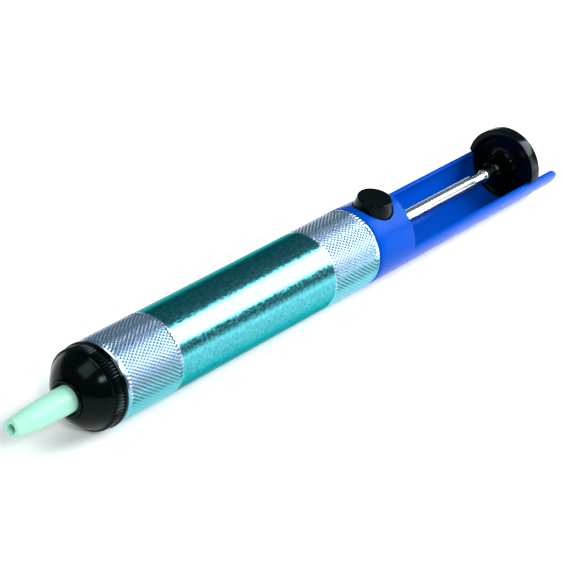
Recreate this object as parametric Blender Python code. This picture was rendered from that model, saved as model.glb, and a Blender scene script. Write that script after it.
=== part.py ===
"""Spring-driven desoldering pump, lying along X with its nozzle at -X and its release button up.

Every length is in metres. X stations run from the tip of the nozzle to the end of the trough, and
each piece is modelled about its own station on the pump's axis. The pump is shown fired: the
plunger is out and the piston rests near its rubber buffer.
"""

import math

import bmesh
import bpy

# Driving dimensions, outside.
NOZZLE_REACH = 0.0170
CAP_REACH = 0.0095
BARREL_LENGTH = 0.0910
COLLAR_LENGTH = 0.0143
TROUGH_LENGTH = 0.0656
BARREL_RADIUS = 0.0100
FLANGE_RADIUS = 0.01015
BUTTON_HEIGHT = 0.0122
BUTTON_SETBACK = 0.0073
PAD_RADIUS = 0.0101
PAD_THICKNESS = 0.0031
PAD_STANDOFF = 0.0515
HUB_REACH = 0.0049
TROUGH_WALL = 0.0013
RAIL_DROP = 0.0003

# Driving dimensions, inside.
BARREL_WALL = 0.0008
ROD_RADIUS = 0.0018
NECK_RADIUS = 0.00125
NECK_LENGTH = 0.0084
SPIGOT_LENGTH = 0.0110
PISTON_LENGTH = 0.0075
PISTON_REST = 0.0032
SEAT_THICKNESS = 0.0008
NUT_THICKNESS = 0.0028
PIN_RADIUS = 0.0006
STROKE = 0.0460
PIN_OVERREACH = 0.0010
MAIN_WIRE = 0.0010
MAIN_TURNS = 13
BUTTON_WIRE = 0.0005
BUTTON_TURNS = 4
GAP = 0.0003
OVERLAP = 0.0005

# Facets round a turned piece.
FACETS = 44
RING_FACETS = 28
RING_SECTION = 6
COIL_STEPS = 12

# Stations along the pump.
LENGTH = NOZZLE_REACH + CAP_REACH + BARREL_LENGTH + COLLAR_LENGTH + TROUGH_LENGTH
TIP_X = -LENGTH / 2
BARREL_X = TIP_X + NOZZLE_REACH + CAP_REACH
COLLAR_X = BARREL_X + BARREL_LENGTH
TROUGH_X = COLLAR_X + COLLAR_LENGTH
BUTTON_X = COLLAR_X + BUTTON_SETBACK
BUFFER_X = COLLAR_X - SPIGOT_LENGTH - GAP
PISTON_X = BUFFER_X - PISTON_REST
PAD_X = TROUGH_X + PAD_STANDOFF
BORE_RADIUS = BARREL_RADIUS - BARREL_WALL
SPIGOT_RADIUS = BORE_RADIUS - GAP
TROUGH_RADIUS = BARREL_RADIUS + 0.00005


def arc(centre_x, centre_r, radius_x, radius_r, start, end, steps):
    """Points (x, r) along an elliptic arc, angles in degrees from +X towards +r."""
    points = []
    for step in range(steps + 1):
        angle = math.radians(start + (end - start) * step / steps)
        points.append((centre_x + radius_x * math.cos(angle), centre_r + radius_r * math.sin(angle)))
    return points


def surface(name, colour, metallic, roughness):
    """A Principled material with one colour and finish."""
    material = bpy.data.materials.new(name)
    material.use_nodes = True
    shader = material.node_tree.nodes["Principled BSDF"]
    shader.inputs["Base Color"].default_value = (*colour, 1.0)
    shader.inputs["Metallic"].default_value = metallic
    shader.inputs["Roughness"].default_value = roughness
    material.diffuse_color = (*colour, 1.0)
    return material


def add_object(name, mesh, material, parent, location=(0.0, 0.0, 0.0)):
    """Links a mesh as a smooth-shaded object under its parent."""
    piece = bpy.data.objects.new(name, mesh)
    bpy.context.scene.collection.objects.link(piece)
    mesh.materials.append(material)
    mesh.shade_smooth()
    mesh.set_sharp_from_angle(angle=math.radians(35))
    piece.parent = parent
    piece.location = location
    return piece


def add_empty(name, parent, location):
    """An empty that carries a moving group, standing on the group's joint axis."""
    empty = bpy.data.objects.new(name, None)
    empty.empty_display_size = 0.01
    bpy.context.scene.collection.objects.link(empty)
    empty.parent = parent
    empty.location = location
    return empty


def mesh_from(name, work):
    """Turns a bmesh into a mesh whose faces point out."""
    bmesh.ops.recalc_face_normals(work, faces=work.faces)
    mesh = bpy.data.meshes.new(name)
    work.to_mesh(mesh)
    work.free()
    return mesh


def turned_mesh(name, outline, facets=FACETS):
    """A closed outline of (x, r) points turned about the X axis. Points with r = 0 make one vertex."""
    work = bmesh.new()
    rings = []
    for x, r in outline:
        if r == 0.0:
            rings.append([work.verts.new((x, 0.0, 0.0))] * facets)
            continue
        ring = []
        for step in range(facets):
            angle = 2 * math.pi * step / facets
            ring.append(work.verts.new((x, r * math.cos(angle), r * math.sin(angle))))
        rings.append(ring)
    for here, there in zip(rings, rings[1:] + rings[:1]):
        for step in range(facets):
            after = (step + 1) % facets
            corners = dict.fromkeys((here[step], here[after], there[after], there[step]))
            if len(corners) > 2:
                work.faces.new(list(corners))
    return mesh_from(name, work)


def lofted_mesh(name, sections):
    """A solid through closed (y, z) outlines, each given with its x and all with as many points."""
    work = bmesh.new()
    rings = []
    for x, outline in sections:
        rings.append([work.verts.new((x, y, z)) for y, z in outline])
    count = len(rings[0])
    for here, there in zip(rings, rings[1:]):
        for step in range(count):
            after = (step + 1) % count
            work.faces.new((here[step], here[after], there[after], there[step]))
    work.faces.new(rings[0])
    work.faces.new(rings[-1])
    return mesh_from(name, work)


def box_mesh(name, low, high):
    """A box between two corners."""
    work = bmesh.new()
    bmesh.ops.create_cube(work, size=1.0)
    for vertex in work.verts:
        for axis in range(3):
            middle = (low[axis] + high[axis]) / 2
            vertex.co[axis] = middle + vertex.co[axis] * (high[axis] - low[axis])
    return mesh_from(name, work)


def upright_mesh(name, outline, facets=FACETS):
    """A closed outline of (z, r) points turned about the Z axis."""
    mesh = turned_mesh(name, outline, facets)
    for vertex in mesh.vertices:
        x, y, z = vertex.co
        vertex.co = (-z, y, x)
    return mesh


def ring_outline(centre_x, centre_r, section_radius):
    """The round section of an O-ring."""
    return arc(centre_x, centre_r, section_radius, section_radius, 0, 360, RING_SECTION)[:-1]


def plug_outline(start_x, end_x, radius):
    """A plain solid cylinder from one x to another."""
    return [(start_x, 0.0), (start_x, radius), (end_x, radius), (end_x, 0.0)]


def tube_outline(start_x, end_x, inner, outer):
    """A plain ring or tube from one x to another."""
    return [(start_x, inner), (start_x, outer), (end_x, outer), (end_x, inner)]


def boolean(piece, operation, name, mesh, location=(0.0, 0.0, 0.0)):
    """Adds or cuts a helper shape, which keeps the piece's own parent and place."""
    helper = bpy.data.objects.new(name, mesh)
    bpy.context.scene.collection.objects.link(helper)
    helper.parent = piece.parent
    helper.location = [at + by for at, by in zip(piece.location, location)]
    helper.hide_render = True
    helper.display_type = "WIRE"
    modifier = piece.modifiers.new(name, "BOOLEAN")
    modifier.operation = operation
    modifier.solver = "EXACT"
    modifier.object = helper


def coil(name, material, parent, location, axis, length, radius, wire, turns):
    """A compression spring along X or Z with closed end turns, as a swept wire."""
    curve = bpy.data.curves.new(name, "CURVE")
    curve.dimensions = "3D"
    curve.bevel_depth = wire / 2
    curve.bevel_resolution = 1
    curve.use_fill_caps = True
    count = turns * COIL_STEPS + 1
    spline = curve.splines.new("POLY")
    spline.points.add(count - 1)
    free = length - 3.4 * wire
    for step in range(count):
        turn = step / COIL_STEPS
        open_share = min(max((turn - 1.0) / (turns - 2.0), 0.0), 1.0)
        closed_turns = min(turn, 1.0) + max(turn - turns + 1.0, 0.0)
        along = wire / 2 + closed_turns * 1.2 * wire + open_share * free
        angle = 2 * math.pi * turn
        across, beside = radius * math.cos(angle), radius * math.sin(angle)
        point = (along, across, beside) if axis == "X" else (across, beside, along)
        spline.points[step].co = (*point, 1.0)
    curve.materials.append(material)
    piece = bpy.data.objects.new(name, curve)
    bpy.context.scene.collection.objects.link(piece)
    piece.parent = parent
    piece.location = location
    return piece


def add_nozzle(parent, plastic):
    """The tapered fluoropolymer nozzle, with the flange that the retainer clamps inside the cap."""
    reach = NOZZLE_REACH + CAP_REACH
    outline = [(-reach, 0.0011), (-reach, 0.0018)]
    outline += arc(-reach + 0.0004, 0.0018, 0.0004, 0.0004, 150, 90, 2)
    outline += [(-0.0215, 0.00275), (-0.0165, 0.00305), (-0.0115, 0.0032), (-0.0057, 0.0032)]
    outline += [(-0.0057, 0.0064), (-0.0040, 0.0064), (-0.0040, 0.0017), (-0.0160, 0.0013)]
    add_object("nozzle", turned_mesh("nozzle", outline), plastic, parent)


def add_nozzle_seal(parent, rubber):
    """The O-ring behind the nozzle's flange."""
    mesh = turned_mesh("nozzle_seal", ring_outline(-0.0030, 0.0052, 0.0007), RING_FACETS)
    add_object("nozzle_seal", mesh, rubber, parent)


def add_nozzle_retainer(parent, plastic):
    """The ring screwed into the cap to hold the nozzle and its seal."""
    mesh = turned_mesh("nozzle_retainer", tube_outline(-0.0020, 0.0002, 0.0032, 0.0066))
    add_object("nozzle_retainer", mesh, plastic, parent)


def add_nose_cap(parent, plastic):
    """The domed cap: a boss round the nozzle, a grip band, a flange and a spigot in the barrel."""
    outline = [(-CAP_REACH, 0.0035), (-CAP_REACH, 0.0043), (-0.0091, 0.0047)]
    outline += arc(-0.0034, 0.0044, 0.0052, 0.00525, 176, 90, 8)
    outline += [(-0.0034, 0.00995), (-0.0013, 0.00995), (-0.0013, FLANGE_RADIUS)]
    outline += [(-GAP, FLANGE_RADIUS), (-GAP, SPIGOT_RADIUS)]
    outline += [(0.0020, SPIGOT_RADIUS), (0.0020, 0.0077), (0.0034, 0.0077), (0.0034, SPIGOT_RADIUS)]
    outline += [(0.0095, SPIGOT_RADIUS), (0.0095, 0.0075), (0.0005, 0.0075), (0.0005, 0.0069)]
    outline += [(-0.0060, 0.0069), (-0.0060, 0.0035)]
    add_object("nose_cap", turned_mesh("nose_cap", outline), plastic, parent)


def add_cap_seal(parent, rubber):
    """The O-ring in the groove of the cap's spigot."""
    mesh = turned_mesh("nose_cap_seal", ring_outline(0.0027, 0.00848, 0.00045), RING_FACETS)
    add_object("nose_cap_seal", mesh, rubber, parent)


def add_barrel(parent, metal):
    """The drawn tube, with its edges broken at both ends."""
    edge = 0.0002
    outline = [(0.0, BORE_RADIUS), (0.0, BARREL_RADIUS - edge), (edge, BARREL_RADIUS)]
    outline += [(BARREL_LENGTH - edge, BARREL_RADIUS), (BARREL_LENGTH, BARREL_RADIUS - edge)]
    outline += [(BARREL_LENGTH, BORE_RADIUS)]
    location = (BARREL_X, 0.0, 0.0)
    add_object("barrel", turned_mesh("barrel", outline), metal, parent, location)


def collar_outline(crease):
    """The collar's (y, z) outline: round at crease 0, with soft shoulders and a raised top at 1."""
    points = []
    for step in range(FACETS):
        degrees = 360.0 * step / FACETS
        above = abs(degrees - 90.0) if degrees <= 180.0 else 90.0
        flat = math.sin(math.radians(min(above, 90.0) * 2.0))
        crown = max(0.0, 1.0 - above / 30.0)
        radius = BARREL_RADIUS - 0.0001 + crease * (0.0004 * crown - 0.00025 * flat)
        angle = math.radians(degrees)
        points.append((radius * math.cos(angle), radius * math.sin(angle)))
    return points


def circle_outline(radius):
    """A round (y, z) outline."""
    angles = [2 * math.pi * step / FACETS for step in range(FACETS)]
    return [(radius * math.cos(angle), radius * math.sin(angle)) for angle in angles]


def trough_outline(rail_top):
    """The half-pipe's (y, z) outline, its rails ending at the given height."""
    inner = TROUGH_RADIUS - TROUGH_WALL
    steps = 28
    points = []
    for radius, turn in ((TROUGH_RADIUS, 1), (inner, -1)):
        lift = math.degrees(math.asin(rail_top / radius))
        start, end = (180.0 - lift, 360.0 + lift) if turn == 1 else (360.0 + lift, 180.0 - lift)
        for step in range(steps + 1):
            angle = math.radians(start + (end - start) * step / steps)
            points.append((radius * math.cos(angle), radius * math.sin(angle)))
    return points


def add_rear_body(parent, plastic):
    """The collar with the button's pocket, the spigot in the barrel and the open trough behind."""
    sections = [(-SPIGOT_LENGTH, circle_outline(SPIGOT_RADIUS)), (0.0, circle_outline(SPIGOT_RADIUS))]
    for share in (0.0, 0.5, 1.0):
        sections.append((share * COLLAR_LENGTH, collar_outline(share)))
    location = (COLLAR_X, 0.0, 0.0)
    body = add_object("rear_body", lofted_mesh("rear_body", sections), plastic, parent, location)

    rounding = 0.0022
    sections = [(COLLAR_LENGTH - OVERLAP, trough_outline(-RAIL_DROP))]
    for step in range(6):
        angle = math.radians(90.0 * step / 5)
        x = COLLAR_LENGTH + TROUGH_LENGTH - rounding + rounding * math.sin(angle)
        sections.append((x, trough_outline(-RAIL_DROP - rounding * (1.0 - math.cos(angle)))))
    boolean(body, "UNION", "trough_shape", lofted_mesh("trough_shape", sections))

    coring = tube_outline(-SPIGOT_LENGTH - OVERLAP, -0.0020, 0.0052, 0.0077)
    boolean(body, "DIFFERENCE", "coring_cut", turned_mesh("coring_cut", coring))
    bore = [(-SPIGOT_LENGTH - OVERLAP, 0.0), (-SPIGOT_LENGTH - OVERLAP, 0.0039), (-0.0060, 0.0039)]
    bore += [(-0.0060, ROD_RADIUS + 0.0004), (COLLAR_LENGTH + OVERLAP, ROD_RADIUS + 0.0004)]
    bore += [(COLLAR_LENGTH + OVERLAP, 0.0)]
    boolean(body, "DIFFERENCE", "bore_cut", turned_mesh("bore_cut", bore, RING_FACETS))

    at_button = (BUTTON_X - COLLAR_X, 0.0, 0.0)
    pocket = box_mesh("pocket_cut", (-0.0052, -0.0052, -0.0064), (0.0052, 0.0052, 0.0064))
    boolean(body, "DIFFERENCE", "pocket_cut", pocket, at_button)
    well = upright_mesh("well_cut", plug_outline(0.0060, 0.0130, 0.0052))
    boolean(body, "DIFFERENCE", "well_cut", well, at_button)
    spring_hole = upright_mesh("spring_hole_cut", plug_outline(-0.0088, -0.0060, 0.0027), RING_FACETS)
    boolean(body, "DIFFERENCE", "spring_hole_cut", spring_hole, at_button)


def add_rod_guide(parent, bronze):
    """The bush in the spigot that the rod runs in."""
    outline = tube_outline(-SPIGOT_LENGTH, -0.0063, ROD_RADIUS + 0.0003, 0.0036)
    mesh = turned_mesh("rod_guide", outline, RING_FACETS)
    add_object("rod_guide", mesh, bronze, parent, (COLLAR_X, 0.0, 0.0))


def add_piston_buffer(parent, rubber):
    """The ring that the piston strikes when the pump fires."""
    outline = tube_outline(-0.0017, 0.0, ROD_RADIUS + 0.0006, 0.0078)
    mesh = turned_mesh("piston_buffer", outline, RING_FACETS)
    add_object("piston_buffer", mesh, rubber, parent, (BUFFER_X, 0.0, 0.0))


def add_piston(parent, plastic):
    """The piston, grooved for its seal."""
    radius = BORE_RADIUS - GAP
    groove = PISTON_LENGTH / 2
    outline = [(-PISTON_LENGTH, ROD_RADIUS + GAP), (-PISTON_LENGTH, radius - 0.0006)]
    outline += [(-PISTON_LENGTH + 0.0006, radius), (-groove - 0.0008, radius)]
    outline += [(-groove - 0.0008, 0.0075), (-groove + 0.0008, 0.0075)]
    outline += [(-groove + 0.0008, radius), (-0.0004, radius), (0.0, radius - 0.0004)]
    outline += [(0.0, ROD_RADIUS + GAP)]
    add_object("piston", turned_mesh("piston", outline), plastic, parent)


def add_piston_seal(parent, rubber):
    """The O-ring that seals the piston in the barrel."""
    outline = ring_outline(-PISTON_LENGTH / 2, 0.00842, 0.0005)
    mesh = turned_mesh("piston_seal", outline, RING_FACETS)
    add_object("piston_seal", mesh, rubber, parent)


def add_spring_seat(parent, steel):
    """The washer between the main spring and the piston."""
    end = -PISTON_LENGTH - GAP
    outline = tube_outline(end - SEAT_THICKNESS, end, ROD_RADIUS + GAP, 0.0080)
    add_object("spring_seat", turned_mesh("spring_seat", outline), steel, parent)


def add_piston_nut(parent, brass):
    """The hexagonal nut on the rod's front end."""
    start = -PISTON_LENGTH - 2 * GAP - SEAT_THICKNESS - NUT_THICKNESS
    across_corners = 0.0037
    corners = []
    for step in range(6):
        angle = math.radians(60 * step)
        corners.append((across_corners * math.cos(angle), across_corners * math.sin(angle)))
    mesh = lofted_mesh("piston_nut", [(start, corners), (start + NUT_THICKNESS, corners)])
    nut = add_object("piston_nut", mesh, brass, parent)
    hole = plug_outline(start - OVERLAP, start + NUT_THICKNESS + OVERLAP, ROD_RADIUS + GAP)
    boolean(nut, "DIFFERENCE", "nut_hole_cut", turned_mesh("nut_hole_cut", hole, RING_FACETS))


def add_rod_clip(parent, steel):
    """The retaining ring behind the piston, seated on the rod."""
    outline = tube_outline(GAP, GAP + 0.0007, ROD_RADIUS + GAP, 0.0036)
    mesh = turned_mesh("rod_clip", outline, RING_FACETS)
    clip = add_object("rod_clip", mesh, steel, parent)
    opening = box_mesh("clip_gap_cut", (-0.001, -0.0009, 0.0), (0.002, 0.0009, 0.005))
    boolean(clip, "DIFFERENCE", "clip_gap_cut", opening)


def rod_front():
    """The x of the rod's front end, just inside the nut's outer face."""
    return -PISTON_LENGTH - 2 * GAP - SEAT_THICKNESS - NUT_THICKNESS + 0.0004


def add_plunger_rod(parent, steel):
    """The ground rod. Its neck behind the shoulder is what the latch plate catches."""
    hub = PAD_X - HUB_REACH - PISTON_X
    shoulder = hub - NECK_LENGTH
    ring = shoulder + 0.0050
    outline = [(rod_front(), 0.0), (rod_front(), ROD_RADIUS - 0.0003)]
    outline += [(rod_front() + 0.0003, ROD_RADIUS), (shoulder - 0.0004, ROD_RADIUS)]
    outline += [(shoulder, ROD_RADIUS - 0.0003), (shoulder, NECK_RADIUS)]
    outline += [(ring, NECK_RADIUS), (ring + 0.0003, 0.0016), (ring + 0.0012, 0.0016)]
    outline += [(ring + 0.0015, NECK_RADIUS), (hub + 0.0043, NECK_RADIUS), (hub + 0.0043, 0.0)]
    add_object("plunger_rod", turned_mesh("plunger_rod", outline, RING_FACETS), steel, parent)


def add_cleaning_pin(parent, steel):
    """The pin that runs through the nozzle when the plunger is pushed in."""
    start = rod_front() - GAP
    tip = TIP_X - PIN_OVERREACH + STROKE - PISTON_X
    outline = [(tip, 0.0), (tip, 0.0003), (tip + 0.0010, PIN_RADIUS), (start - 0.0020, PIN_RADIUS)]
    outline += [(start - 0.0016, 0.0012), (start, 0.0012), (start, 0.0)]
    add_object("cleaning_pin", turned_mesh("cleaning_pin", outline, 16), steel, parent)


def pad_outline(inset):
    """The pad's (y, z) outline: a wide half disc over the rails and a narrow one in the trough."""
    upper = PAD_RADIUS - inset
    lower = TROUGH_RADIUS - TROUGH_WALL - 0.0005 - inset
    sill = 0.0001 + inset * 0.6
    corner = 0.0008
    upper_start = math.degrees(math.asin((sill + corner) / upper))
    lower_start = math.degrees(math.asin((sill - 0.0004) / lower))
    points = []
    for step in range(25):
        angle = math.radians(upper_start + (180.0 - 2 * upper_start) * step / 24)
        points.append((upper * math.cos(angle), upper * math.sin(angle)))
    points.append((-upper + corner, sill))
    for step in range(25):
        angle = math.radians(180.0 - lower_start + (180.0 + 2 * lower_start) * step / 24)
        points.append((lower * math.cos(angle), lower * math.sin(angle)))
    points.append((upper - corner, sill))
    return points


def add_thumb_pad(parent, plastic):
    """The pad that the thumb pushes, dished in front round the hub that holds the rod."""
    chamfer = 0.0004
    sections = [(0.0, pad_outline(chamfer)), (chamfer, pad_outline(0.0))]
    sections += [(PAD_THICKNESS - chamfer, pad_outline(0.0)), (PAD_THICKNESS, pad_outline(chamfer))]
    location = (PAD_X - PISTON_X, 0.0, 0.0)
    pad = add_object("thumb_pad", lofted_mesh("thumb_pad", sections), plastic, parent, location)
    dish = lofted_mesh("dish_cut", [(-0.001, pad_outline(0.0018)), (0.0013, pad_outline(0.0020))])
    boolean(pad, "DIFFERENCE", "dish_cut", dish)
    hub = [(-HUB_REACH, 0.0), (-HUB_REACH, 0.0023), (-0.0044, 0.0027), (-0.0012, 0.0030)]
    hub += [(0.0006, 0.0034), (0.0020, 0.0040), (0.0020, 0.0)]
    boolean(pad, "UNION", "hub_shape", turned_mesh("hub_shape", hub, RING_FACETS))
    socket = plug_outline(-0.0060, -0.0002, NECK_RADIUS + GAP)
    boolean(pad, "DIFFERENCE", "socket_cut", turned_mesh("socket_cut", socket, RING_FACETS))


def add_release_button(parent, plastic):
    """The button's cap on a stem with the window that the rod passes through."""
    outline = [(0.0059, 0.0), (0.0059, 0.0049), (0.0088, 0.0049), (BUTTON_HEIGHT - 0.0004, 0.0043)]
    outline += [(BUTTON_HEIGHT - 0.0001, 0.0041), (BUTTON_HEIGHT, 0.0038), (BUTTON_HEIGHT, 0.0)]
    button = add_object("release_button", upright_mesh("release_button", outline), plastic, parent)
    stem = box_mesh("stem_shape", (-0.0031, -0.0041, -0.0042), (0.0031, 0.0041, 0.0062))
    boolean(button, "UNION", "stem_shape", stem)
    window = box_mesh("window_cut", (-0.006, -0.0023, -0.0029), (0.006, 0.0023, 0.0042))
    boolean(button, "DIFFERENCE", "window_cut", window)


def add_latch_plate(parent, steel):
    """The plate behind the stem, whose lower edge catches the rod's shoulder."""
    mesh = box_mesh("latch_plate", (0.0034, -0.0042, -0.0043), (0.0045, 0.0042, 0.0056))
    plate = add_object("latch_plate", mesh, steel, parent)
    window = box_mesh("plate_window_cut", (0.002, -0.0022, -0.0021), (0.006, 0.0022, 0.0042))
    boolean(plate, "DIFFERENCE", "plate_window_cut", window)


def build():
    for old in list(bpy.data.objects):
        bpy.data.objects.remove(old, do_unlink=True)

    white = surface("fluoropolymer_mint", (0.56, 0.89, 0.78), 0.0, 0.35)
    black = surface("moulded_black", (0.006, 0.007, 0.008), 0.0, 0.2)
    blue = surface("moulded_blue", (0.0, 0.10, 0.80), 0.0, 0.25)
    rubber = surface("nitrile_rubber", (0.012, 0.012, 0.013), 0.0, 0.7)
    natural = surface("acetal_natural", (0.75, 0.74, 0.70), 0.0, 0.4)
    aluminium = surface("polished_aluminium", (0.66, 0.80, 0.81), 1.0, 0.22)
    steel = surface("ground_steel", (0.72, 0.73, 0.74), 1.0, 0.18)
    zinc = surface("zinc_plated_steel", (0.60, 0.61, 0.63), 1.0, 0.35)
    brass = surface("turned_brass", (0.72, 0.52, 0.20), 1.0, 0.3)
    bronze = surface("sintered_bronze", (0.45, 0.27, 0.12), 1.0, 0.5)

    axis = add_empty("pump_axis", None, (0.0, 0.0, FLANGE_RADIUS))
    cap_turn = add_empty("cap_turn", axis, (BARREL_X, 0.0, 0.0))
    plunger_slide = add_empty("plunger_slide", axis, (PISTON_X, 0.0, 0.0))
    button_press = add_empty("button_press", axis, (BUTTON_X, 0.0, 0.0))

    add_nozzle(cap_turn, white)
    add_nozzle_seal(cap_turn, rubber)
    add_nozzle_retainer(cap_turn, black)
    add_nose_cap(cap_turn, black)
    add_cap_seal(cap_turn, rubber)

    add_barrel(axis, aluminium)
    add_rear_body(axis, blue)
    add_rod_guide(axis, bronze)
    add_piston_buffer(axis, rubber)

    add_piston(plunger_slide, natural)
    add_piston_seal(plunger_slide, rubber)
    add_spring_seat(plunger_slide, zinc)
    add_piston_nut(plunger_slide, brass)
    add_rod_clip(plunger_slide, zinc)
    add_plunger_rod(plunger_slide, steel)
    add_cleaning_pin(plunger_slide, steel)
    add_thumb_pad(plunger_slide, black)

    add_release_button(button_press, black)
    add_latch_plate(button_press, zinc)

    spring_start = BARREL_X + 0.0008
    spring_end = PISTON_X - PISTON_LENGTH - 2 * GAP - SEAT_THICKNESS
    coil("main_spring", zinc, axis, (spring_start, 0.0, 0.0), "X", spring_end - spring_start,
         0.0066, MAIN_WIRE, MAIN_TURNS)
    button_floor = -0.0088 + GAP
    coil("button_spring", zinc, axis, (BUTTON_X, 0.0, button_floor), "Z",
         -0.0042 - GAP - button_floor, 0.0019, BUTTON_WIRE, BUTTON_TURNS)


build()
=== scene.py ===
"""Desoldering pump: its visible pieces, finishes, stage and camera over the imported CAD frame."""
from math import atan2, cos, hypot, pi, radians, sin

import bpy
from mathutils import Matrix, Vector


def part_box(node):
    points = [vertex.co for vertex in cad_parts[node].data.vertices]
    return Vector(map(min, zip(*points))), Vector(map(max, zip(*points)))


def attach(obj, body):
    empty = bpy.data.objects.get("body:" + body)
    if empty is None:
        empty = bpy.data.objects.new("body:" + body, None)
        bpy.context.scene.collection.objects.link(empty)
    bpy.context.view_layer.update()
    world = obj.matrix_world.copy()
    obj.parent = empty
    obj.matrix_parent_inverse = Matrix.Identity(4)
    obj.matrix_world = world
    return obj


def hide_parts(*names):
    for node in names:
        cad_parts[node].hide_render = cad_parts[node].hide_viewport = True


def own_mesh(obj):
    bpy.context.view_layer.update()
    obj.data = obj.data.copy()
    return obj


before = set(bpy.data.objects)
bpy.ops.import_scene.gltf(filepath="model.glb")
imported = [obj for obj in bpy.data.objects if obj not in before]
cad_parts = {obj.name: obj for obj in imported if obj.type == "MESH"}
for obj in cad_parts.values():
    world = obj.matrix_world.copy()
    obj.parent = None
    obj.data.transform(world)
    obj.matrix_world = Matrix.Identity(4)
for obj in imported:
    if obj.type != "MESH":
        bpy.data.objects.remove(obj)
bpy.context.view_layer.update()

bl_info = {
    "name": "Desoldering Pump",
    "version": (1, 0, 0),
    "blender": (4, 5, 0),
    "location": "View3D > Sidebar > Pump",
    "description": "Models a desoldering pump's visible pieces over its CAD frame",
    "category": "Add Mesh",
}

MM = 0.001

# The frame's own boxes give every station along the pump, which lies on the X axis.
NOZZLE_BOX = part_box("nozzle")
CAP_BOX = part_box("nose_cap")
BARREL_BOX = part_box("barrel")
BODY_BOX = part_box("rear_body")
BUTTON_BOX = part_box("release_button")
ROD_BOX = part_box("plunger_rod")
PAD_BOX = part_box("thumb_pad")
SPRING_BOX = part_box("main_spring")
SMALL_SPRING_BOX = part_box("button_spring")

AXIS_Z = (BARREL_BOX[0][2] + BARREL_BOX[1][2]) / 2
BARREL_RADIUS = (BARREL_BOX[1][2] - BARREL_BOX[0][2]) / 2
BARREL_X = BARREL_BOX[0][0]
COLLAR_X = BARREL_BOX[1][0]
END_X = BODY_BOX[1][0]
TIP_X = NOZZLE_BOX[0][0]
BUTTON_X = BUTTON_BOX[0][0] + 4.9 * MM
BUTTON_TOP = BUTTON_BOX[1][2]
PAD_END = PAD_BOX[1][0]
HUB_X = PAD_BOX[0][0]

# Lengths and radii that the frame's boxes don't give.
FRONT_KNURL = 17.7 * MM
REAR_KNURL = 17.4 * MM
KNURL_MARGIN = 0.35 * MM
COLLAR_LENGTH = 14.3 * MM
COLLAR_END = COLLAR_X + COLLAR_LENGTH
BODY_RADIUS = 10.05 * MM
TROUGH_RADIUS = 8.75 * MM
RAIL_Z = AXIS_Z - 0.3 * MM

# Further from the axis than any piece reaches, for helper shapes.
CLEAR = 20 * MM


class PumpSizes(bpy.types.PropertyGroup):
    """Sizes of the pump's details that its CAD frame leaves plain."""
    knurl_count: bpy.props.IntProperty(
        name="Knurl count", description="Diamonds round the barrel", default=68, min=20)
    knurl_pitch: bpy.props.FloatProperty(
        name="Knurl pitch", description="Length of a diamond along the barrel",
        default=1.40 * MM, unit="LENGTH")
    knurl_depth: bpy.props.FloatProperty(
        name="Knurl depth", description="Depth of the grooves between the diamonds",
        default=0.22 * MM, unit="LENGTH")
    rib_count: bpy.props.IntProperty(
        name="Rib count", description="Grip ribs round the nose cap", default=78, min=12)
    rib_depth: bpy.props.FloatProperty(
        name="Rib depth", description="Depth of the grooves between the ribs",
        default=0.28 * MM, unit="LENGTH")
    rail_round: bpy.props.FloatProperty(
        name="Rail round", description="Rounding of the trough's rails",
        default=0.40 * MM, unit="LENGTH")
    tip_round: bpy.props.FloatProperty(
        name="Tip round", description="Rounding of the rails' tips, seen from the side",
        default=3.5 * MM, unit="LENGTH")


class PumpColours(bpy.types.PropertyGroup):
    """Colours of the pump's finishes, as sRGB hex."""
    aluminium: bpy.props.StringProperty(
        name="Aluminium", description="Lathe-polished tube", default="52A6B0")
    # The knurl's tone is a painted highlight: the lit colour laid on the tube's upper side.
    knurl: bpy.props.StringProperty(
        name="Knurl", description="Rolled bands of the tube", default="A8C0DC")
    blue: bpy.props.StringProperty(
        name="Blue plastic", description="Collar and trough", default="0045AE")
    black: bpy.props.StringProperty(
        name="Black plastic", description="Cap, button and pad", default="020404")
    mint: bpy.props.StringProperty(
        name="Nozzle plastic", description="Nozzle", default="A2DCC4")
    floor: bpy.props.StringProperty(
        name="Floor", description="Studio floor", default="F4F6F6")


def sizes():
    return bpy.context.scene.pump_sizes


def colours():
    return bpy.context.scene.pump_colours


# Finishes

def linear(code):
    """An sRGB hex colour as linear RGBA."""
    channels = []
    for start in (0, 2, 4):
        value = int(code[start:start + 2], 16) / 255
        channels.append(value / 12.92 if value <= 0.04045 else ((value + 0.055) / 1.055) ** 2.4)
    return (*channels, 1.0)


def node(tree, kind, settings=None, values=None, links=None):
    """Adds a node, sets its options and sockets, and links (node, output) pairs into others."""
    made = tree.nodes.new(kind)
    for option, value in (settings or {}).items():
        setattr(made, option, value)
    for socket, value in (values or {}).items():
        made.inputs[socket].default_value = value
    for socket, (source, output) in (links or {}).items():
        tree.links.new(source.outputs[output], made.inputs[socket])
    return made


def finish(name, **shader_values):
    """A new material, its node tree and its Principled shader."""
    material = bpy.data.materials.new(name)
    material.use_nodes = True
    tree = material.node_tree
    shader = tree.nodes["Principled BSDF"]
    for socket, value in shader_values.items():
        shader.inputs[socket.replace("_", " ")].default_value = value
    material.diffuse_color = shader.inputs["Base Color"].default_value
    return material, tree, shader


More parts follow.
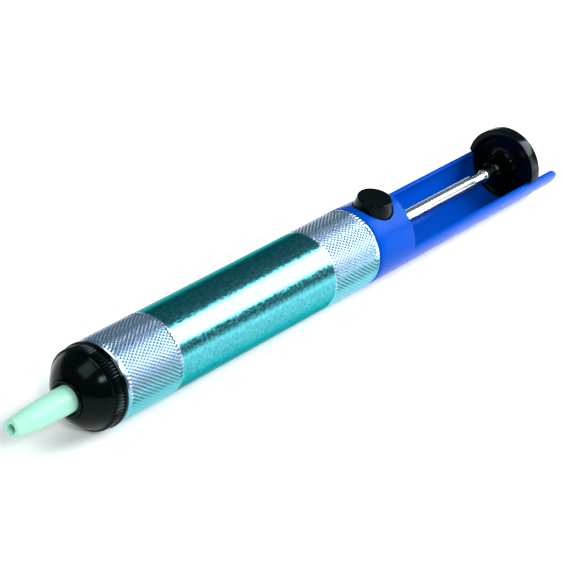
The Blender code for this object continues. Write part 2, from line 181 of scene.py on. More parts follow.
def mottle(tree, shader, stretch, millimetres, detail=3.0, tones=None, bold=False, rough=None,
           depth=None):
    """Lays one noise over the finish, on Object coordinates, its patches of the given size and
    stretched along the axes. It shifts the colour between two tones, which bold patches reach in
    full, the roughness between two values, and the surface by a depth."""
    place = node(tree, "ShaderNodeTexCoord")
    mapping = node(tree, "ShaderNodeMapping", values={"Scale": stretch},
                   links={"Vector": (place, "Object")})
    noise = node(tree, "ShaderNodeTexNoise",
                 values={"Scale": 1000 / millimetres, "Detail": detail},
                 links={"Vector": (mapping, "Vector")})
    middle = {"From Min": 0.3, "From Max": 0.7}
    if tones:
        factor = (noise, "Fac")
        if bold:
            factor = (node(tree, "ShaderNodeMapRange", values=middle, links={"Value": factor}),
                      "Result")
        mix = node(tree, "ShaderNodeMix", {"data_type": "RGBA"}, {"A": tones[0], "B": tones[1]},
                   {"Factor": factor})
        tree.links.new(mix.outputs["Result"], shader.inputs["Base Color"])
    if rough:
        sheen = node(tree, "ShaderNodeMapRange",
                     values={**middle, "To Min": rough[0], "To Max": rough[1]},
                     links={"Value": (noise, "Fac")})
        tree.links.new(sheen.outputs["Result"], shader.inputs["Roughness"])
    if depth:
        bump = node(tree, "ShaderNodeBump", values={"Strength": 1.0, "Distance": depth},
                    links={"Height": (noise, "Fac")})
        tree.links.new(bump.outputs["Normal"], shader.inputs["Normal"])


def shade(colour, factor):
    """A linear colour made darker or lighter."""
    return tuple(channel * factor for channel in colour[:3]) + (1.0,)


def lathe_polished_aluminium():
    """Aluminium tube, polished on a lathe: bright, with fine rings round it that break the edges
    of its reflections, and faint cloudy patches from the polish. Real rings are a few hundredths
    of a millimetre apart, drawn coarser here so that they show."""
    base = linear(colours().aluminium)
    material, tree, shader = finish("lathe_polished_aluminium", Base_Color=base, Metallic=1.0,
                                    Specular_Tint=linear("80B4AE"))
    mottle(tree, shader, (0.8, 1.0, 1.0), 0.6, tones=(shade(base, 0.72), shade(base, 1.2)),
           bold=True, rough=(0.12, 0.24))
    mottle(tree, shader, (1.0, 0.22, 0.22), 0.34, detail=4.0, depth=0.028 * MM)
    return material


def knurled_aluminium():
    """The same tube where a wheel has rolled the knurl. Its upper side is painted bright and white,
    a painted highlight from the light above blended in by height, and below it keeps the tube's own
    blue-green. The flecks are the wheel's burnish, about a flank wide."""
    lit_top_tone, tube_tone = linear(colours().knurl), linear(colours().aluminium)
    # Painted highlight: a lit tone laid on the tube's upper side by height, fading to the tube's
    # own colour below.
    lit_start, lit_end = AXIS_Z - 0.5 * MM, AXIS_Z + 7.0 * MM
    material, tree, shader = finish("rolled_knurl_aluminium", Base_Color=lit_top_tone, Metallic=1.0)
    place = node(tree, "ShaderNodeTexCoord")
    height = node(tree, "ShaderNodeSeparateXYZ", links={"Vector": (place, "Object")})
    painted_light_blend = node(tree, "ShaderNodeMapRange", {"interpolation_type": "SMOOTHSTEP"},
                {"From Min": lit_start, "From Max": lit_end}, {"Value": (height, "Z")})
    mix = node(tree, "ShaderNodeMix", {"data_type": "RGBA"}, {"A": tube_tone, "B": lit_top_tone},
               {"Factor": (painted_light_blend, "Result")})
    tree.links.new(mix.outputs["Result"], shader.inputs["Base Color"])
    mottle(tree, shader, (1.0, 1.0, 1.0), 0.3, rough=(0.18, 0.28))
    return material


def moulded_plastic(name, base, roughness, streak, gloss=0.09, sheen="C0F0F4", wave=0.004 * MM):
    """Injection-moulded plastic from a polished mould: glossy, with a faint ripple and streaks
    about 6 mm wide from the flow of the melt, and scuffs that break the highlights. Real scuffs
    are a few hundredths of a millimetre wide, drawn coarser here so that they show."""
    material, tree, shader = finish(name, Base_Color=base, IOR=1.53, Specular_IOR_Level=gloss,
                                    Specular_Tint=linear(sheen))
    mottle(tree, shader, (0.3, 1.0, 1.0), 6.0,
           tones=(shade(base, 1.0 - streak), shade(base, 1.0 + streak)), depth=wave)
    mottle(tree, shader, (0.2, 1.0, 1.0), 0.5, rough=(roughness * 0.92, roughness * 1.12))
    return material


def black_plastic(place, roughness=0.15, streak=0.25):
    """Black ABS, moulded: deep and glossy, with cool highlights."""
    return moulded_plastic("moulded_black_" + place, linear(colours().black), roughness, streak)


def turned_fluoropolymer():
    """Turned fluoropolymer rod: waxy and translucent, so light spreads under its skin, with faint
    turning marks round it, drawn coarser than the real 0.05 mm."""
    base = linear(colours().mint)
    material, tree, shader = finish("turned_fluoropolymer", Base_Color=base, Roughness=0.38,
                                    IOR=1.35, Subsurface_Weight=0.35,
                                    Subsurface_Scale=1.5 * MM)
    shader.inputs["Subsurface Radius"].default_value = (0.7, 1.0, 0.9)
    mottle(tree, shader, (1.0, 0.05, 0.05), 0.3, tones=(shade(base, 0.94), base),
           depth=0.01 * MM)
    return material


def ground_steel():
    """Centreless-ground steel rod: bright, with hairlines round it that blur its reflections and
    patches of tarnish a millimetre or two wide. Real hairlines are about 0.02 mm apart, drawn
    coarser here so that they show."""
    base = linear("EEF4F6")
    material, tree, shader = finish("ground_steel", Base_Color=base, Metallic=1.0)
    mottle(tree, shader, (0.6, 1.0, 1.0), 1.6, tones=(shade(base, 0.6), base))
    mottle(tree, shader, (1.0, 0.04, 0.04), 0.2, rough=(0.16, 0.26), depth=0.003 * MM)
    return material


def plain_metal(name, code, roughness, millimetres):
    """Small metal parts as they leave the machine or the plating bath: an even metal with a
    slightly cloudy sheen, its patches the given size."""
    base = linear(code)
    material, tree, shader = finish(name, Base_Color=base, Metallic=1.0)
    mottle(tree, shader, (1.0, 1.0, 1.0), millimetres, tones=(shade(base, 0.8), base),
           rough=(roughness * 0.7, roughness * 1.4))
    return material


def moulded_rubber():
    """Nitrile rubber from a satin mould: near black, with a dull sheen and a fine grain."""
    base = linear("17181A")
    material, tree, shader = finish("moulded_nitrile_rubber", Base_Color=base, Roughness=0.62,
                                    IOR=1.5)
    mottle(tree, shader, (1.0, 1.0, 1.0), 0.15, tones=(shade(base, 0.7), shade(base, 1.2)),
           depth=0.01 * MM)
    return material


def opal_acrylic():
    """Opal acrylic sheet, lit from below: matt and white, with a faint haze in the sheet."""
    base = linear(colours().floor)
    material, tree, shader = finish("backlit_opal_acrylic", Base_Color=base, Roughness=0.9,
                                    Emission_Color=(1.0, 1.0, 1.0, 1.0), Emission_Strength=0.2)
    mottle(tree, shader, (1.0, 1.0, 1.0), 1.5, tones=(shade(base, 0.98), base))
    return material


def give(piece, *materials):
    """Replaces the piece's materials."""
    piece.data.materials.clear()
    for material in materials:
        piece.data.materials.append(material)


# Modelling steps

def begin(piece):
    """Selects only this piece and opens it in edit mode."""
    bpy.ops.object.select_all(action="DESELECT")
    piece.select_set(True)
    bpy.context.view_layer.objects.active = piece
    bpy.ops.object.mode_set(mode="EDIT")


def pick(piece, test, kind="VERT"):
    """Selects, from edit mode, what passes a test: a face by its middle, an edge by its two ends
    or a vertex by its place."""
    bpy.ops.mesh.select_mode(type=kind)
    bpy.ops.mesh.select_all(action="DESELECT")
    bpy.ops.object.mode_set(mode="OBJECT")
    mesh = piece.data
    place = piece.matrix_world
    if kind == "FACE":
        for face in mesh.polygons:
            face.select = test(place @ face.center)
    elif kind == "EDGE":
        for edge in mesh.edges:
            edge.select = test(*(place @ mesh.vertices[index].co for index in edge.vertices))
    else:
        for vertex in mesh.vertices:
            vertex.select = test(place @ vertex.co)
    bpy.ops.object.mode_set(mode="EDIT")


def complete(piece, body, replaced, slot, *materials, smooth=35):
    """Puts the object's place into its mesh, shades it, and ties it to the frame."""
    bpy.ops.object.select_all(action="DESELECT")
    piece.select_set(True)
    bpy.context.view_layer.objects.active = piece
    bpy.ops.object.transform_apply(location=True, rotation=True, scale=True)
    bpy.ops.object.shade_smooth_by_angle(angle=radians(smooth))
    # Clearing the materials also clears which face has which, so that is put back.
    chosen = [face.material_index for face in piece.data.polygons]
    give(piece, *materials)
    piece.data.polygons.foreach_set("material_index", chosen)
    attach(piece, body)
    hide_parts(replaced)


def from_axis(point):
    """How far a point lies from the pump's axis."""
    return hypot(point.y, point.z - AXIS_Z)


def around_x(x, radius):
    return Vector((x, 0.0, AXIS_Z + radius))


def around_button(z, radius):
    return Vector((BUTTON_X + radius, 0.0, z))


def line(origin, *points):
    """Profile points from (along, across) in millimetres, along counted from a station."""
    return [(origin + along * MM, across * MM) for along, across in points]


def arc(origin, middle, radius, start, end, steps):
    """Profile points on an elliptic arc: middle and radius are (along, across) in millimetres,
    start and end are in degrees."""
    angles = [radians(start + (end - start) * step / steps) for step in range(steps + 1)]
    along, across = origin + middle[0] * MM, middle[1] * MM
    return [(along + radius[0] * MM * cos(a), across + radius[1] * MM * sin(a)) for a in angles]


def turned(name, profile, place=around_x, steps=96, closed=False):
    """Walks one vertex along a (station, radius) profile and spins the line about the pump's axis
    or the button's."""
    points = [place(*point) for point in profile]
    if closed:
        points.append(points[0])
    bpy.ops.object.select_all(action="DESELECT")
    bpy.ops.mesh.primitive_plane_add(size=MM, location=points[0])
    piece = bpy.context.object
    piece.name = name
    bpy.ops.object.mode_set(mode="EDIT")
    bpy.ops.mesh.select_mode(type="VERT")
    bpy.ops.mesh.select_all(action="SELECT")
    bpy.ops.mesh.merge(type="CENTER")
    for here, there in zip(points, points[1:]):
        bpy.ops.mesh.extrude_region_move(TRANSFORM_OT_translate={"value": there - here})
    axis = place(1.0, 0.0) - place(0.0, 0.0)
    bpy.ops.mesh.select_all(action="SELECT")
    bpy.ops.mesh.spin(steps=steps, angle=2 * pi, center=place(0.0, 0.0), axis=axis)
    bpy.ops.mesh.select_all(action="SELECT")
    bpy.ops.mesh.remove_doubles(threshold=0.001 * MM)
    bpy.ops.mesh.select_all(action="SELECT")
    bpy.ops.mesh.normals_make_consistent(inside=False)
    bpy.ops.object.mode_set(mode="OBJECT")
    return piece


def boolean(piece, helper, operation="DIFFERENCE"):
    """Cuts or joins a helper shape and throws the helper away."""
    bpy.context.view_layer.objects.active = piece
    modifier = piece.modifiers.new("Boolean", "BOOLEAN")
    modifier.object = helper
    modifier.operation = operation
    modifier.solver = "EXACT"
    bpy.ops.object.modifier_apply(modifier=modifier.name)
    bpy.data.objects.remove(helper, do_unlink=True)


def block(low, high):
    """A helper box between two corners."""
    bpy.ops.object.select_all(action="DESELECT")
    middle = [(a + b) / 2 for a, b in zip(low, high)]
    size = [b - a for a, b in zip(low, high)]
    bpy.ops.mesh.primitive_cube_add(size=1.0, location=middle, scale=size)
    bpy.ops.object.transform_apply(location=False, rotation=False, scale=True)
    return bpy.context.object


def drum(low, high, inner, outer, place=around_x, steps=48):
    """A round helper between two stations, solid or with a hole through it."""
    profile = [(low, inner), (low, outer), (high, outer), (high, inner)]
    return turned("drum", profile, place, steps, closed=inner > 0)


def coil(name, start, along, radius, wire, advances, steps, sides=10):
    """Extrudes a wire's round section step by step round an axis, each turn by its own advance."""
    across, turn = (Vector((0, 0, 1)), "X") if along.x else (Vector((1, 0, 0)), "Z")
    flat = along.cross(across)
    bpy.ops.object.select_all(action="DESELECT")
    bpy.ops.mesh.primitive_circle_add(vertices=sides, radius=wire / 2, fill_type="NGON",
                                      location=start + across * radius,
                                      rotation=flat.to_track_quat("Z", "Y").to_euler())
    piece = bpy.context.object
    piece.name = name
    bpy.ops.object.mode_set(mode="EDIT")
    bpy.ops.mesh.select_mode(type="VERT")
    bpy.ops.mesh.select_all(action="SELECT")
    for advance in advances:
        step = along * (advance / steps)
        for _ in range(steps):
            bpy.ops.mesh.extrude_region_move(TRANSFORM_OT_translate={"value": step})
            bpy.ops.transform.rotate(value=2 * pi / steps, orient_axis=turn,
                                     center_override=start)
    bpy.ops.mesh.select_all(action="SELECT")
    bpy.ops.mesh.normals_make_consistent(inside=False)
    bpy.ops.object.mode_set(mode="OBJECT")
    return piece


def spring(name, start, along, radius, wire, length, turns, steps):
    """A compression spring: open turns between two closed end turns."""
    closed = 1.2 * wire
    pitch = (length - wire - 2 * closed) / turns
    return coil(name, start, along, radius, wire, [closed, *[pitch] * turns, closed], steps)


# Pieces

class PUMP_OT_nozzle(bpy.types.Operator):
    """Turn the tapered nozzle with its bore and soft lip"""
    bl_idname = "pump.nozzle"
    bl_label = "Nozzle"

    def execute(self, context):
        bore, lip = 1.05, 1.6
        flange_front, flange_rear = -5.7, -4.0
        profile = line(TIP_X, (12.0, 1.2), (0.6, bore))
        profile += arc(TIP_X, (0.55, lip), (0.55, 0.55), 270, 90, 10)
        profile += line(TIP_X, (1.5, 2.25), (4.4, 2.62), (8.0, 2.95), (12.0, 3.15), (14.5, 3.2))
        profile += line(BARREL_X, (flange_front, 3.2), (flange_front, 6.4), (flange_rear, 6.4),
                        (flange_rear, 1.7))
        piece = turned("nozzle_body", profile, steps=80, closed=True)
        complete(piece, "nose", "nozzle", "fluoropolymer", turned_fluoropolymer(), smooth=40)
        return {"FINISHED"}


class PUMP_OT_nose_cap(bpy.types.Operator):
    """Turn the domed cap, press in its grip ribs and wind the spigot's thread"""
    bl_idname = "pump.nose_cap"
    bl_label = "Nose Cap"

    def execute(self, context):
        front = CAP_BOX[0][0]
        flange = (CAP_BOX[1][2] - CAP_BOX[0][2]) / 2
        grip_front, grip_rear = BARREL_X - 4.1 * MM, BARREL_X - 1.25 * MM
        grip_radius = 9.88 * MM
        profile = [(BARREL_X - 6.0 * MM, 3.5 * MM), (front + 0.25 * MM, 3.5 * MM)]
        profile += arc(front, (0.45, 3.95), (0.45, 0.45), 180, 90, 5)
        profile += arc(front, (0.9, 4.65), (0.45, 0.25), 250, 180, 3)
        profile += self.dome(front + 0.5 * MM, grip_front - 0.15 * MM)
        profile += line(grip_front, (0.0, 9.38), (0.1, 9.74), (0.35, 9.84))
        profile += [(grip_rear, grip_radius), (grip_rear + 0.1 * MM, flange - 0.08 * MM)]
        profile += [(grip_rear + 0.25 * MM, flange), (BARREL_X - 0.4 * MM, flange)]
        profile += [(BARREL_X - 0.3 * MM, flange - 0.12 * MM)]
        # The spigot, with the seal's groove, and its bore with the seat of the nozzle's flange.
        profile += line(BARREL_X, (-0.3, 8.9), (2.0, 8.9), (2.0, 7.7), (3.4, 7.7), (3.4, 8.8),
                        (9.2, 8.8), (9.5, 8.5), (9.5, 7.5), (0.5, 7.5), (0.5, 6.9), (-6.0, 6.9))
        columns = sizes().rib_count * 3
        piece = turned("nose_cap_shell", profile, steps=columns, closed=True)

        def in_groove(point):
            column = round(atan2(point.y, point.z - AXIS_Z) / (2 * pi) * columns)
            on_grip = grip_front + 0.05 * MM < point.x < grip_rear + 0.01 * MM
            return on_grip and from_axis(point) > 9.7 * MM and column % 3 == 0

        begin(piece)
        pick(piece, in_groove)
        sunk = 1 - sizes().rib_depth / grip_radius
        bpy.ops.transform.resize(value=(1, sunk, sunk), center_override=(0, 0, AXIS_Z))
        bpy.ops.object.mode_set(mode="OBJECT")
        thread = coil("spigot_thread", Vector((BARREL_X + 4.2 * MM, 0, AXIS_Z)),
                      Vector((1, 0, 0)), 8.78 * MM, 0.66 * MM, [1.5 * MM] * 3, 48, sides=4)
        bpy.ops.object.select_all(action="DESELECT")
        thread.select_set(True)
        piece.select_set(True)
        bpy.context.view_layer.objects.active = piece
        bpy.ops.object.join()
        complete(piece, "nose", "nose_cap", "black_plastic", black_plastic("cap", 0.16),
                 smooth=28)
        return {"FINISHED"}

    def dome(self, front, rear):
        """The dome's profile: a chord from the boss to the grip, bulged to a parabola."""
        start, end = Vector((front, 4.5 * MM)), Vector((rear, 9.2 * MM))
        bulge, steps = 0.5 * MM, 18
        chord = end - start
        outward = Vector((-chord.y, chord.x)).normalized()
        shares = [step / steps for step in range(steps + 1)]
        return [tuple(start + chord * share + outward * bulge * 4 * share * (1 - share))
                for share in shares]


class PUMP_OT_barrel(bpy.types.Operator):
    """Draw the tube and roll a band of diamond knurl at each end"""
    bl_idname = "pump.barrel"
    bl_label = "Barrel"

    def execute(self, context):
        columns = sizes().knurl_count * 2
        step = sizes().knurl_pitch / 2
        plain_start = BARREL_X + KNURL_MARGIN + FRONT_KNURL
        plain_end = COLLAR_X - KNURL_MARGIN - REAR_KNURL
        bands = ((BARREL_X + KNURL_MARGIN, FRONT_KNURL), (plain_end, REAR_KNURL))
        bore = BARREL_RADIUS - 0.8 * MM
        chamfered = BARREL_RADIUS - 0.25 * MM
        profile = [(BARREL_X, bore), (BARREL_X, chamfered)]
        for start, length in bands:
            rows = round(length / step)
            profile += [(start + length * row / rows, BARREL_RADIUS) for row in range(rows + 1)]
        profile += [(COLLAR_X, chamfered), (COLLAR_X, bore)]
        piece = turned("barrel_tube", profile, steps=columns, closed=True)

        def lattice(point):
            """Row plus column on a knurl band, or None on the plain tube."""
            if from_axis(point) < BARREL_RADIUS - 0.1 * MM:
                return None
            for start, length in bands:
                rows = round(length / step)
                row = (point.x - start) / length * rows
                if 0.5 < row < rows - 0.5:
                    column = atan2(point.y, point.z - AXIS_Z) / (2 * pi) * columns
                    return round(row) + round(column)
            return None

        def is_peak(point):
            return lattice(point) is not None and lattice(point) % 2 == 0

        def is_groove(point):
            return lattice(point) is not None and lattice(point) % 2 == 1

        begin(piece)
        for test, share in ((is_peak, 0.35), (is_groove, -0.65)):
            pick(piece, test)
            factor = 1 + share * sizes().knurl_depth / BARREL_RADIUS
            bpy.ops.transform.resize(value=(1, factor, factor), center_override=(0, 0, AXIS_Z))

        def on_band(middle):
            outside = from_axis(middle) > BARREL_RADIUS - 0.3 * MM
            return outside and not plain_start < middle.x < plain_end

        pick(piece, on_band, "FACE")
        bpy.ops.mesh.quads_convert_to_tris(quad_method="SHORTEST_DIAGONAL")
        bpy.ops.object.mode_set(mode="OBJECT")
        for face in piece.data.polygons:
            face.material_index = int(on_band(piece.matrix_world @ face.center))
        complete(piece, "housing", "barrel", "barrel_aluminium", lathe_polished_aluminium(),
                 knurled_aluminium(), smooth=12)
        return {"FINISHED"}


class PUMP_OT_rear_body(bpy.types.Operator):
    """Mould the collar with its button well and the open trough behind it"""
    bl_idname = "pump.rear_body"
    bl_label = "Rear Body"

    def execute(self, context):
        spigot = COLLAR_X - 11.0 * MM
        rings = (0.2, 0.4, 0.6, 0.8, 0.97, 1.0)
        profile = [(spigot, 0.0), (spigot, 8.9 * MM)]
        profile += line(COLLAR_X, (-0.02, 8.9), (-0.02, 9.75), (0.18, 9.95), (0.5, 10.05))
        profile += [(COLLAR_X + share * COLLAR_LENGTH, BODY_RADIUS) for share in rings]
        profile += [(END_X, BODY_RADIUS), (END_X, 0.0)]
        piece = turned("rear_body_shell", profile, steps=120)
        self.crown_collar(piece, rings)
        self.hollow_out(piece)
        self.round_edges(piece)
        blue = moulded_plastic("moulded_blue", linear(colours().blue), 0.22, 0.06, gloss=0.04,
                               sheen="00B0FF", wave=0.01 * MM)
        complete(piece, "housing", "rear_body", "blue_plastic", blue, smooth=32)
        return {"FINISHED"}

    def crown_collar(self, piece, rings):
        """Raises a crown along the collar's top and flattens the shoulders beside it, more and
        more towards its rear end. It goes by the spun mesh's columns, 3 degrees apart."""
        crown_edge, shoulder_edge = 34, 86
        crown_height, shoulder_depth = 0.45 * MM, 0.32 * MM
        begin(piece)
        for aside in range(-90, 91, 3):
            angle = radians(aside)
            crown = max(0.0, 1.0 - abs(aside) / crown_edge) ** 1.2
            shoulder = 0.5 - 0.5 * cos(radians(min(abs(aside) * 360 / shoulder_edge, 360)))
            rise = crown_height * crown - shoulder_depth * shoulder
            out = Vector((0, sin(angle), cos(angle)))

            def on_column(point):
                radial = Vector((0, point.y, point.z - AXIS_Z))
                return radial.length > 9.9 * MM and radial.normalized().dot(out) > cos(radians(0.5))

            for share in rings:
                x = COLLAR_X + share * COLLAR_LENGTH
                pick(piece, lambda point: abs(point.x - x) < 0.05 * MM and on_column(point))
                bpy.ops.transform.translate(value=out * rise * share)
        bpy.ops.object.mode_set(mode="OBJECT")

    def hollow_out(self, piece):
        """Cuts the open trough, the spigot's coring, the rod's bore and the button's well."""
        behind = END_X + MM
        beside = 15 * MM
        boolean(piece, drum(COLLAR_END, behind, 0.0, TROUGH_RADIUS, steps=96))
        boolean(piece, block((COLLAR_END, -beside, RAIL_Z), (behind, beside, AXIS_Z + beside)))
        boolean(piece, drum(COLLAR_X - 12 * MM, COLLAR_X - 2 * MM, 5.2 * MM, 7.7 * MM))
        guide, rod = 3.9, 2.2
        bore = line(COLLAR_X, (-12, 0.0), (-12, guide), (-6, guide), (-6, rod))
        bore += line(COLLAR_END, (1, rod), (1, 0.0))
        boolean(piece, turned("bore", bore, steps=48))
        well, window = 5.2 * MM, 6.4 * MM
        boolean(piece, block((BUTTON_X - well, -well, AXIS_Z - window),
                             (BUTTON_X + well, well, AXIS_Z + window)))
        boolean(piece, drum(AXIS_Z + 6.0 * MM, AXIS_Z + 13 * MM, 0.0, well, around_button, 72))
        boolean(piece, drum(AXIS_Z - 8.8 * MM, AXIS_Z - 6.0 * MM, 0.0, 2.7 * MM, around_button, 32))

    def round_edges(self, piece):
        """Rounds the rails' tips off, then rolls the edges of the rim and of the collar's mouth."""
        near = 0.02 * MM
        tip = sizes().tip_round
        beside = 15 * MM
        corner = block((END_X - tip, -beside, RAIL_Z - tip), (END_X + MM, beside, RAIL_Z + MM))
        bpy.ops.object.select_all(action="DESELECT")
        bpy.ops.mesh.primitive_cylinder_add(vertices=64, radius=tip, depth=2 * CLEAR,
                                            location=(END_X - tip, 0, RAIL_Z - tip),
                                            rotation=(pi / 2, 0, 0))
        boolean(corner, bpy.context.object)
        boolean(piece, corner)

        def on_rim(point):
            on_rails = COLLAR_END - near < point.x < END_X - tip + near
            level = abs(point.z - RAIL_Z) < near and on_rails
            reach = hypot(point.x - END_X + tip, point.z - RAIL_Z + tip)
            rounded = abs(reach - tip) < near and point.x > END_X - tip - near
            return level or rounded or abs(point.x - END_X) < near

        def on_edge(a, b):
            skins = from_axis(a), from_axis(b)
            outside = min(skins) > 9.8 * MM
            inside = max(skins) < 8.85 * MM and min(skins) > 8.6 * MM
            return on_rim(a) and on_rim(b) and (outside or inside)

        def on_mouth(a, b):
            behind = max(abs(a.x - COLLAR_END), abs(b.x - COLLAR_END)) < near
            outside = min(from_axis(a), from_axis(b)) > 9.3 * MM
            return behind and outside and min(a.z, b.z) > RAIL_Z + 0.5 * MM

        begin(piece)
        pick(piece, on_edge, "EDGE")
        bpy.ops.mesh.bevel(offset=sizes().rail_round, segments=3, affect="EDGES",
                           clamp_overlap=False)
        pick(piece, on_mouth, "EDGE")
        bpy.ops.mesh.bevel(offset=0.3 * MM, segments=2, affect="EDGES", clamp_overlap=False)
        bpy.ops.object.mode_set(mode="OBJECT")


class PUMP_OT_release_button(bpy.types.Operator):
    """Turn the button's cap with its skirt and build its windowed stem"""
    bl_idname = "pump.release_button"
    bl_label = "Release Button"

    def execute(self, context):
        profile = line(AXIS_Z, (5.9, 0.0), (5.9, 4.85), (6.0, 4.9), (8.9, 4.9), (9.6, 4.83))
        profile += line(BUTTON_TOP, (-0.75, 4.42))
        profile += arc(BUTTON_TOP, (-0.55, 3.85), (0.55, 0.55), 82, 10, 6)
        profile += line(BUTTON_TOP, (-0.03, 4.1), (-0.10, 3.3), (-0.14, 1.6), (-0.15, 0.0))
        piece = turned("button_cap", profile, around_button, steps=80)
        long, wide = 3.1 * MM, 4.1 * MM
        boolean(piece, block((BUTTON_X - long, -wide, AXIS_Z - 4.2 * MM),
                             (BUTTON_X + long, wide, AXIS_Z + 6.2 * MM)), "UNION")
        long, wide = 6 * MM, 2.3 * MM
        boolean(piece, block((BUTTON_X - long, -wide, AXIS_Z - 2.9 * MM),
                             (BUTTON_X + long, wide, AXIS_Z + 4.2 * MM)))
        complete(piece, "button", "release_button", "black_plastic", black_plastic("button", 0.24))
        return {"FINISHED"}


class PUMP_OT_plunger_rod(bpy.types.Operator):
    """Turn the rod with its shoulder, neck and crimped ring"""
    bl_idname = "pump.plunger_rod"
    bl_label = "Plunger Rod"

    def execute(self, context):
        front, rear = ROD_BOX[0][0], ROD_BOX[1][0]
        shoulder = HUB_X - 8.4 * MM
        ring = shoulder + 5.0 * MM
        profile = line(front, (0.0, 0.0), (0.0, 1.5), (0.3, 1.8))
        profile += line(shoulder, (-0.45, 1.8))
        profile += arc(shoulder, (-0.45, 1.4), (0.45, 0.4), 60, 0, 3)
        profile += line(shoulder, (0.0, 1.25), (0.4, 1.2))
        profile += line(ring, (-0.4, 1.2))
        profile += arc(ring, (0.6, 1.2), (0.75, 0.5), 165, 15, 6)
        profile += line(ring, (1.6, 1.2))
        profile += line(rear, (0.0, 1.25), (0.0, 0.0))
        piece = turned("rod_shaft", profile, steps=64)
        complete(piece, "plunger", "plunger_rod", "ground_steel", ground_steel())
        return {"FINISHED"}


class PUMP_OT_thumb_pad(bpy.types.Operator):
    """Turn the dished pad, cut the clearance for the trough's walls and round its corners"""
    bl_idname = "pump.thumb_pad"
    bl_label = "Thumb Pad"

    def execute(self, context):
        back = PAD_END + 0.5 * MM
        front = PAD_END - 3.1 * MM
        profile = line(HUB_X, (0.0, 0.0), (0.0, 1.9))
        profile += arc(HUB_X, (0.5, 2.1), (0.5, 0.5), 180, 100, 4)
        profile += line(HUB_X, (2.2, 2.8))
        profile += line(front, (-1.0, 3.0))
        profile += arc(front, (-0.4, 4.9), (1.7, 1.7), 290, 340, 5)
        profile += line(front, (1.25, 5.6), (1.2, 7.4))
        profile += arc(front, (0.5, 7.5), (0.7, 0.65), 0, 90, 4)
        profile += arc(front, (0.25, 8.4), (0.25, 0.25), 270, 180, 3)
        profile += arc(front, (0.25, 9.85), (0.25, 0.25), 180, 90, 4)
        profile += arc(back, (-0.3, 9.8), (0.3, 0.3), 90, 0, 4)
        profile += line(back, (-0.1, 6.0), (-0.35, 0.0))
        piece = turned("thumb_disc", profile, steps=112)
        sill = AXIS_Z + 0.1 * MM
        wall = drum(front - 7 * MM, back + MM, TROUGH_RADIUS - 0.5 * MM, 14 * MM, steps=96)
        boolean(wall, block((front - 9 * MM, -CLEAR, sill),
                            (back + 3 * MM, CLEAR, AXIS_Z + CLEAR)))
        boolean(piece, wall)

        def at_corner(a, b):
            level = max(abs(a.z - sill), abs(b.z - sill)) < 0.01 * MM
            return level and min(abs(a.y), abs(b.y)) > 8.9 * MM

        begin(piece)
        pick(piece, at_corner, "EDGE")
        bpy.ops.mesh.bevel(offset=0.6 * MM, segments=4, affect="EDGES")
        bpy.ops.object.mode_set(mode="OBJECT")
        complete(piece, "plunger", "thumb_pad", "black_plastic", black_plastic("pad"))
        return {"FINISHED"}


class PUMP_OT_springs(bpy.types.Operator):
    """Wind the main spring and the button's spring, with closed end turns"""
    bl_idname = "pump.springs"
    bl_label = "Springs"

    def execute(self, context):
        steel = plain_metal("oil_tempered_spring_steel", "8C9093", 0.3, 0.8)
        low, high = SPRING_BOX
        wire, length = 1.0 * MM, high[0] - low[0]
        main = spring("main_spring_coil", Vector((low[0] + wire / 2, 0, AXIS_Z)),
                      Vector((1, 0, 0)), 6.6 * MM, wire, length, 11, 24)
        complete(main, "housing", "main_spring", "spring_steel", steel, smooth=60)
        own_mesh(main)
        low, high = SMALL_SPRING_BOX
        wire, length = 0.5 * MM, high[2] - low[2]
        small = spring("button_spring_coil", Vector((BUTTON_X, 0, low[2] + wire / 2)),
                       Vector((0, 0, 1)), 1.9 * MM, wire, length, 2, 20)
        complete(small, "housing", "button_spring", "spring_steel", steel, smooth=60)
        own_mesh(small)
        return {"FINISHED"}


class PUMP_OT_inner_parts(bpy.types.Operator):
    """Give the CAD's inner pieces their finishes"""
    bl_idname = "pump.inner_parts"
    bl_label = "Inner Parts"

    def execute(self, context):
        finishes = {
            moulded_rubber(): ("nozzle_seal", "nose_cap_seal", "piston_buffer", "piston_seal"),
            black_plastic("retainer", 0.3, 0.2): ("nozzle_retainer",),
            moulded_plastic("moulded_acetal", linear("E4E0D6"), 0.35, 0.04): ("piston",),
            plain_metal("sintered_bronze", "9C7A4E", 0.5, 0.4): ("rod_guide",),
            plain_metal("turned_brass", "C9A24E", 0.28, 0.7): ("piston_nut",),
            plain_metal("zinc_plated_steel", "B4B8BC", 0.34, 1.5):
                ("spring_seat", "rod_clip", "latch_plate"),
            plain_metal("drawn_steel_wire", "AEB2B4", 0.22, 0.6): ("cleaning_pin",),
        }
        for material, names in finishes.items():
            for name in names:
                give(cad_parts[name], material)
        return {"FINISHED"}


# Stage

def softbox(name, place, aim, width, height, radiance):
    """A rectangular area light turned towards a point, hidden from the camera itself."""
    light = bpy.data.lights.new(name, "AREA")
    light.shape = "RECTANGLE"
    light.size, light.size_y = width, height
    light.energy = radiance * pi * width * height
    lamp = bpy.data.objects.new(name, light)
    bpy.context.scene.collection.objects.link(lamp)
    lamp.location = place
    lamp.visible_camera = False
    lamp.rotation_euler = (Vector(aim) - Vector(place)).to_track_quat("-Z", "Y").to_euler()


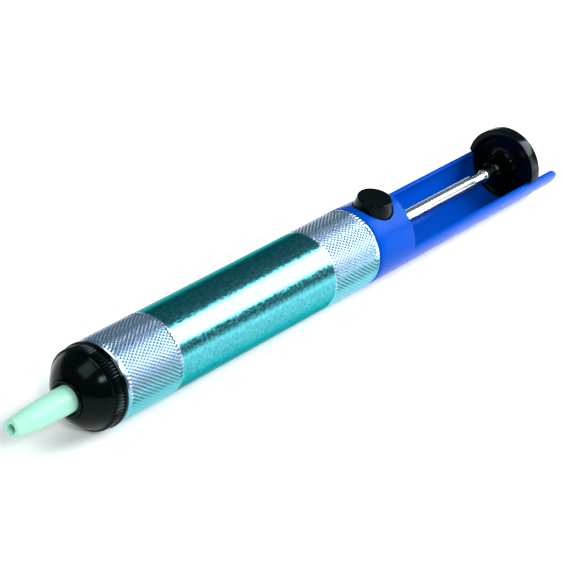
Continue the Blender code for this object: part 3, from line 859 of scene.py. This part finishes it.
class PUMP_OT_stage(bpy.types.Operator):
    """Lay the floor, hang the studio lights and place the camera"""
    bl_idname = "pump.stage"
    bl_label = "Stage"

    def execute(self, context):
        just_below = -0.2 * MM
        bpy.ops.object.select_all(action="DESELECT")
        bpy.ops.mesh.primitive_plane_add(size=8.0, location=(0, 0, just_below))
        floor = bpy.context.object
        floor.name = "floor"
        give(floor, opal_acrylic())
        self.hang_lights(context.scene)
        self.place_camera(context.scene)
        return {"FINISHED"}

    def hang_lights(self, scene):
        """Hangs each light by its place, the point it faces, its width, height and radiance, and
        sets the backdrop."""
        middle = (0.0, 0.0, 0.0)
        # Draws the bright strip along the tube and lights the upper side of the rest.
        softbox("overhead_softbox", (0.72, -0.378, 0.56), (0.72, -0.378, 0.0), 0.84, 0.66, 13.0)
        # Makes the small highlights on the cap, and the shadow on the floor.
        softbox("key", (-0.48, -0.53, 0.69), middle, 0.17, 0.17, 30.0)
        # Brightens the rod, which mirrors this side.
        softbox("rod_card", (0.205, -0.13, 0.052), (0.205, 0.0, 0.052), 0.09, 0.085, 4.0)
        # Softens the shadows from the nose end.
        softbox("fill", (-0.55, 0.15, 0.75), middle, 0.5, 0.5, 4.0)
        # A low strip along the table's edge, mirrored in the glossy sides.
        softbox("table_edge", (0.85, -0.85, 0.08), (0.0, 0.0, 0.08), 1.6, 0.16, 1.0)

        world = bpy.data.worlds.new("studio")
        scene.world = world
        world.use_nodes = True
        backdrop = world.node_tree.nodes["Background"]
        backdrop.inputs["Color"].default_value = linear("CAF0FA")
        backdrop.inputs["Strength"].default_value = 0.21
        scene.view_settings.view_transform = "Standard"

    def place_camera(self, scene):
        """A long lens, looking down at the pump from its nose end, and rolled a little."""
        place = Vector((-431.75, -273.4, 334.45)) * MM
        target = Vector((-7.25, 0.0, 10.98)) * MM
        roll = 0.206
        camera = bpy.data.objects.new("camera", bpy.data.cameras.new("camera"))
        scene.collection.objects.link(camera)
        camera.data.lens = 162.5
        camera.data.sensor_width = 36
        camera.data.clip_start = 10 * MM
        turn = (target - place).to_track_quat("-Z", "Y").to_matrix().to_4x4()
        camera.matrix_world = Matrix.Translation(place) @ turn @ Matrix.Rotation(roll, 4, "Z")
        scene.camera = camera


STEPS = (PUMP_OT_stage, PUMP_OT_nozzle, PUMP_OT_nose_cap, PUMP_OT_barrel, PUMP_OT_rear_body,
         PUMP_OT_release_button, PUMP_OT_plunger_rod, PUMP_OT_thumb_pad, PUMP_OT_springs,
         PUMP_OT_inner_parts)


class PUMP_PT_panel(bpy.types.Panel):
    """Lists the pump's build steps and its settings"""
    bl_idname = "PUMP_PT_panel"
    bl_label = "Desoldering Pump"
    bl_space_type = "VIEW_3D"
    bl_region_type = "UI"
    bl_category = "Pump"

    def draw(self, context):
        for group in (context.scene.pump_sizes, context.scene.pump_colours):
            column = self.layout.column()
            for name in group.__annotations__:
                column.prop(group, name)
        for step in STEPS:
            self.layout.operator(step.bl_idname)


CLASSES = (PumpSizes, PumpColours, *STEPS, PUMP_PT_panel)


def register():
    for kind in CLASSES:
        bpy.utils.register_class(kind)
    bpy.types.Scene.pump_sizes = bpy.props.PointerProperty(type=PumpSizes)
    bpy.types.Scene.pump_colours = bpy.props.PointerProperty(type=PumpColours)


def unregister():
    del bpy.types.Scene.pump_colours
    del bpy.types.Scene.pump_sizes
    for kind in reversed(CLASSES):
        bpy.utils.unregister_class(kind)


def main():
    """Registers the add-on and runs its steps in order."""
    register()
    bpy.ops.pump.stage()
    bpy.ops.pump.nozzle()
    bpy.ops.pump.nose_cap()
    bpy.ops.pump.barrel()
    bpy.ops.pump.rear_body()
    bpy.ops.pump.release_button()
    bpy.ops.pump.plunger_rod()
    bpy.ops.pump.thumb_pad()
    bpy.ops.pump.springs()
    bpy.ops.pump.inner_parts()
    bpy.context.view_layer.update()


if __name__ == "__main__":
    main()
